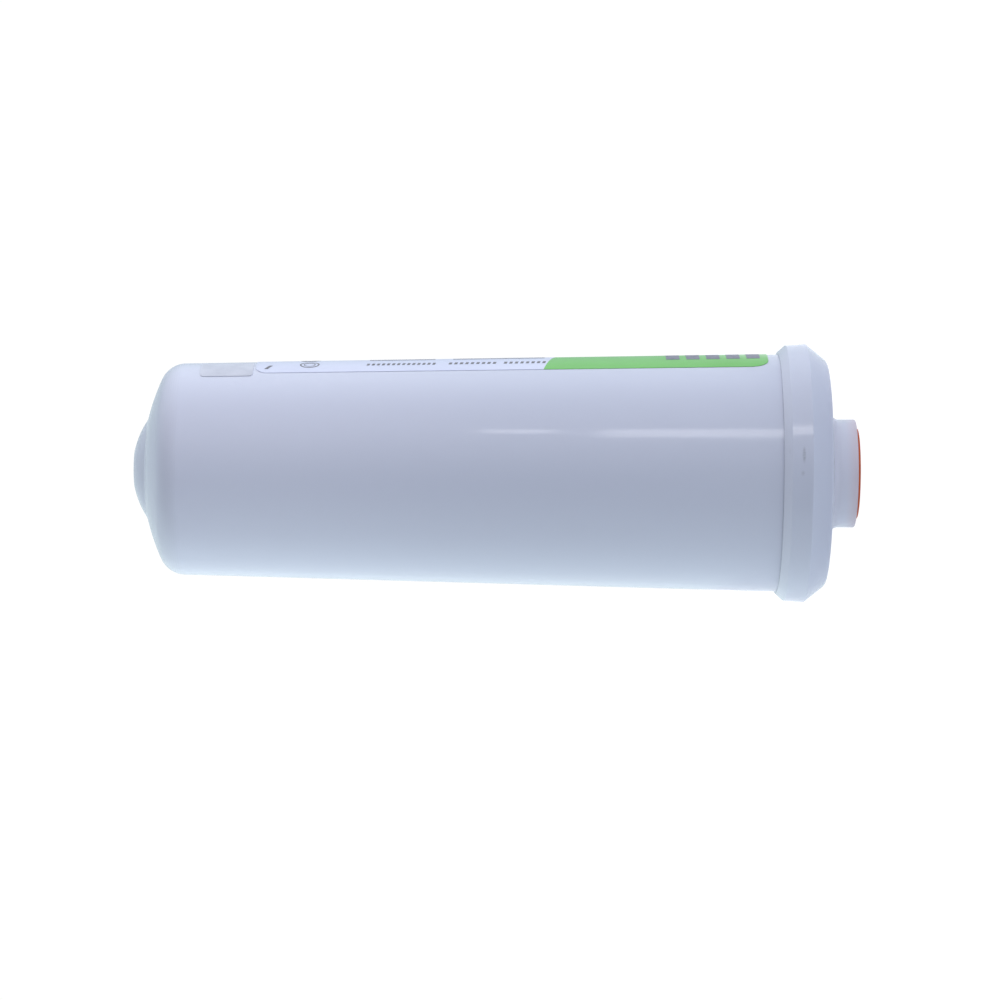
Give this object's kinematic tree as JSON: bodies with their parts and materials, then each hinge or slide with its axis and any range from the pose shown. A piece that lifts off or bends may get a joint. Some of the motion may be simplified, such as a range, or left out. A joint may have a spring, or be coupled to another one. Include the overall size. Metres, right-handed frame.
{
  "type": "inline water filter cartridge",
  "caption": "Sealed inline water filter cartridge: tapered milky plastic body with a domed end and small outlet port, welded collar cap, round neck closed by an orange plug, film label.",
  "frame": {"origin": "middle of the inlet plug's outer face, which the part stands on, at the bottom centre of the part", "axes": "+Z along the axis of the cartridge, from the neck and inlet port to the domed end and outlet port; the label is on the +X and +Y sides"},
  "size_m": [0.0894, 0.0894, 0.25],
  "materials": {
    "housing": "milky translucent, satin moulded",
    "end_cap": "milky translucent, satin moulded",
    "inlet_plug": "orange, soft moulded polyethylene",
    "inlet_washer": "matte black",
    "inlet_strainer": "perforated sheet",
    "closed_end_cap": "natural white moulding",
    "lower_bond": "hot melt",
    "carbon_block": "sintered carbon",
    "core_tube": "natural white moulding",
    "core_wrap": "white non-woven",
    "prefilter_wrap": "white non-woven",
    "outer_net": "extruded netting",
    "upper_bond": "hot melt",
    "open_end_cap": "natural white moulding",
    "lower_o_ring": "matte black",
    "upper_o_ring": "matte black",
    "label": "white printed film",
    "label_colour_field": "green printed film",
    "batch_sticker": "clear greyish film"
  },
  "bodies": {
    "cartridge": {"housing": "housing", "end_cap": "end_cap", "inlet_washer": "inlet_washer", "inlet_strainer": "inlet_strainer", "closed_end_cap": "closed_end_cap", "lower_bond": "lower_bond", "carbon_block": "carbon_block", "core_tube": "core_tube", "core_wrap": "core_wrap", "prefilter_wrap": "prefilter_wrap", "outer_net": "outer_net", "upper_bond": "upper_bond", "open_end_cap": "open_end_cap", "lower_o_ring": "lower_o_ring", "upper_o_ring": "upper_o_ring", "label": "label", "label_colour_field": "label_colour_field", "batch_sticker": "batch_sticker"},
    "inlet_plug": {"inlet_plug": "inlet_plug"}
  },
  "joints": [
    {"name": "plug_pull", "type": "slide", "parent": "cartridge", "child": "inlet_plug", "axis": [0, 0, -1], "range_m": [0, 0.03]}
  ]
}
